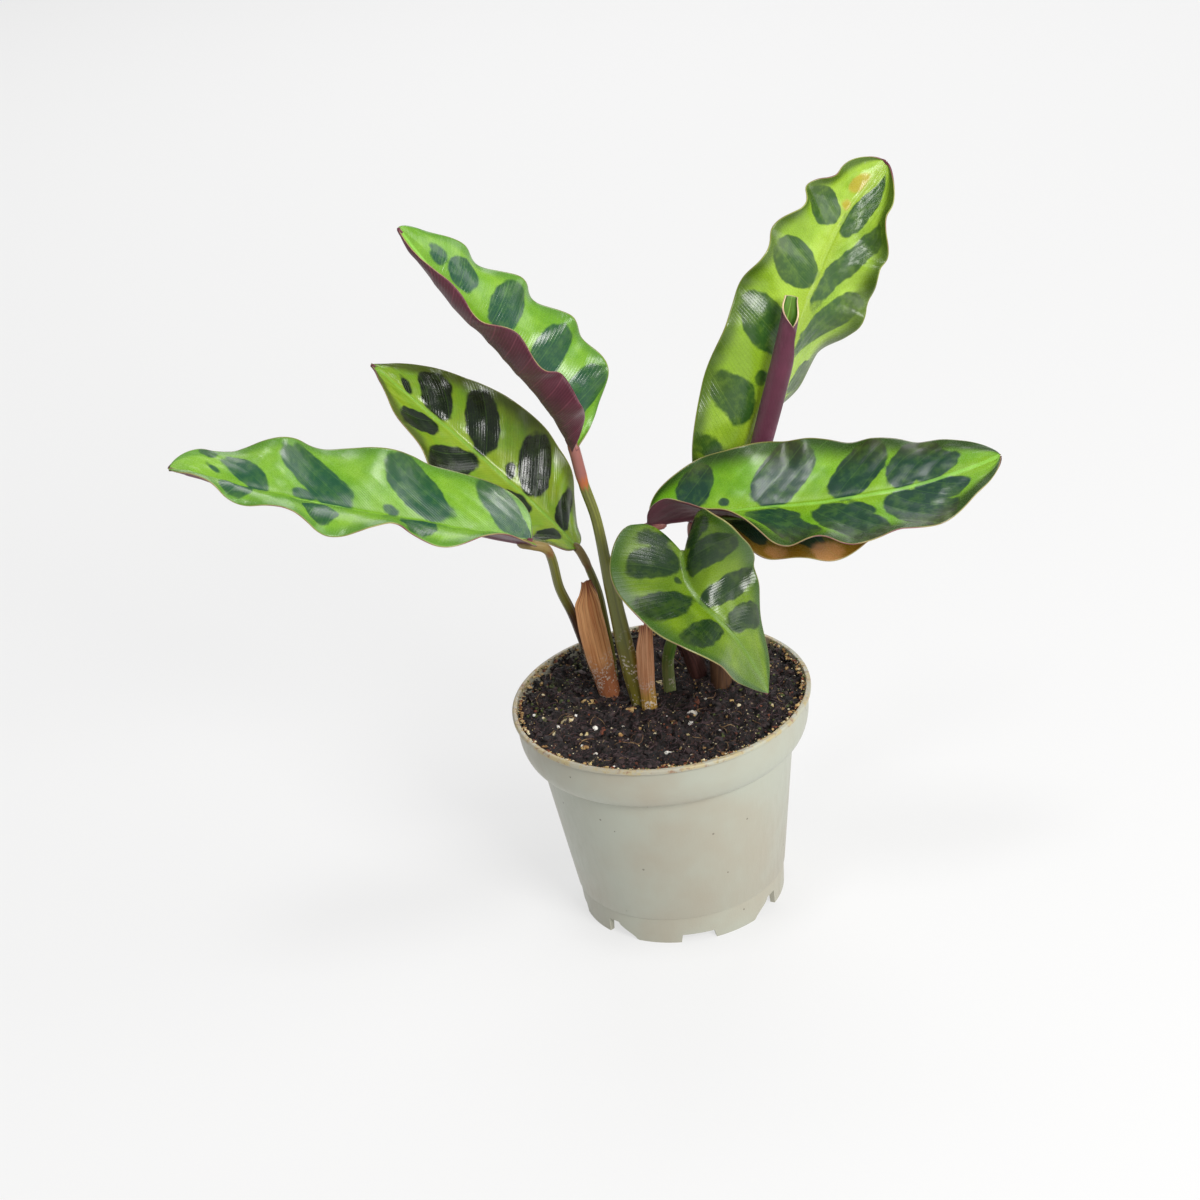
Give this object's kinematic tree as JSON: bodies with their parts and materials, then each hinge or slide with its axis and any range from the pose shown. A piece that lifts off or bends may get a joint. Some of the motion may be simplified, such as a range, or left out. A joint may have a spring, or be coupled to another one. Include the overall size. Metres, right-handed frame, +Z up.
{
  "type": "potted rattlesnake plant",
  "caption": "Young rattlesnake plant with wavy blotched leaves on slender stalks, standing in a small tapered round nursery pot filled with peat.",
  "frame": {"origin": "middle of the bottom of the object's bounding box, on the surface that the pot stands on", "axes": "+Z up along the pot's axis, +X to the right and +Y away from the viewer as pictured, along and across the spread of the leaves"},
  "size_m": [0.155, 0.0696, 0.1495],
  "materials": {
    "leaf": "leaf of light yellow-green with dark green blotches either side of the midrib, fine ribs and a soft waxy sheen, maroon beneath",
    "leaf_dark": "olive leaf with near-black green blotches and a wet gloss, maroon beneath",
    "leaf_glossy": "young light green leaf with dark blotches and a browned tip, maroon beneath",
    "leaf_old": "ageing green leaf with a golden-brown margin and pinkish dry patches",
    "leaf_furled": "rolled young leaf, maroon underside outwards with a thin cream margin and a green inner face",
    "stalk": "olive-green stalk, faintly ribbed, turning pink-maroon below the blade",
    "stalk_brown": "stalk turning from olive to dark brown towards the soil",
    "sheath_dry": "dry tan-orange sheath with lengthwise wrinkles and torn ends",
    "sheath_red": "short purple-brown papery sheath",
    "peat": "near-black moist peat with brown fibres, white grains, tan crumbs and green moss",
    "pot_plastic": "satin sage-grey plastic with faint flow marks and small dark specks"
  },
  "bodies": {
    "root": {"blade_tall": "leaf", "blade_right": "leaf", "blade_drooping": "leaf_glossy", "blade_upper_left": "leaf", "blade_broad": "leaf_dark", "blade_left": "leaf", "blade_old": "leaf_old", "furled_leaf": "leaf_furled", "stalk_tall": "stalk", "stalk_right": "stalk", "stalk_drooping": "stalk", "stalk_upper_left": "stalk", "stalk_broad": "stalk", "stalk_left": "stalk_brown", "stalk_old": "stalk", "stalk_furled": "stalk", "sheath_tall_dry": "sheath_dry", "sheath_front": "sheath_dry", "sheath_red": "sheath_red", "sheath_brown": "sheath_red", "soil": "peat", "pot": "pot_plastic"}
  },
  "joints": []
}
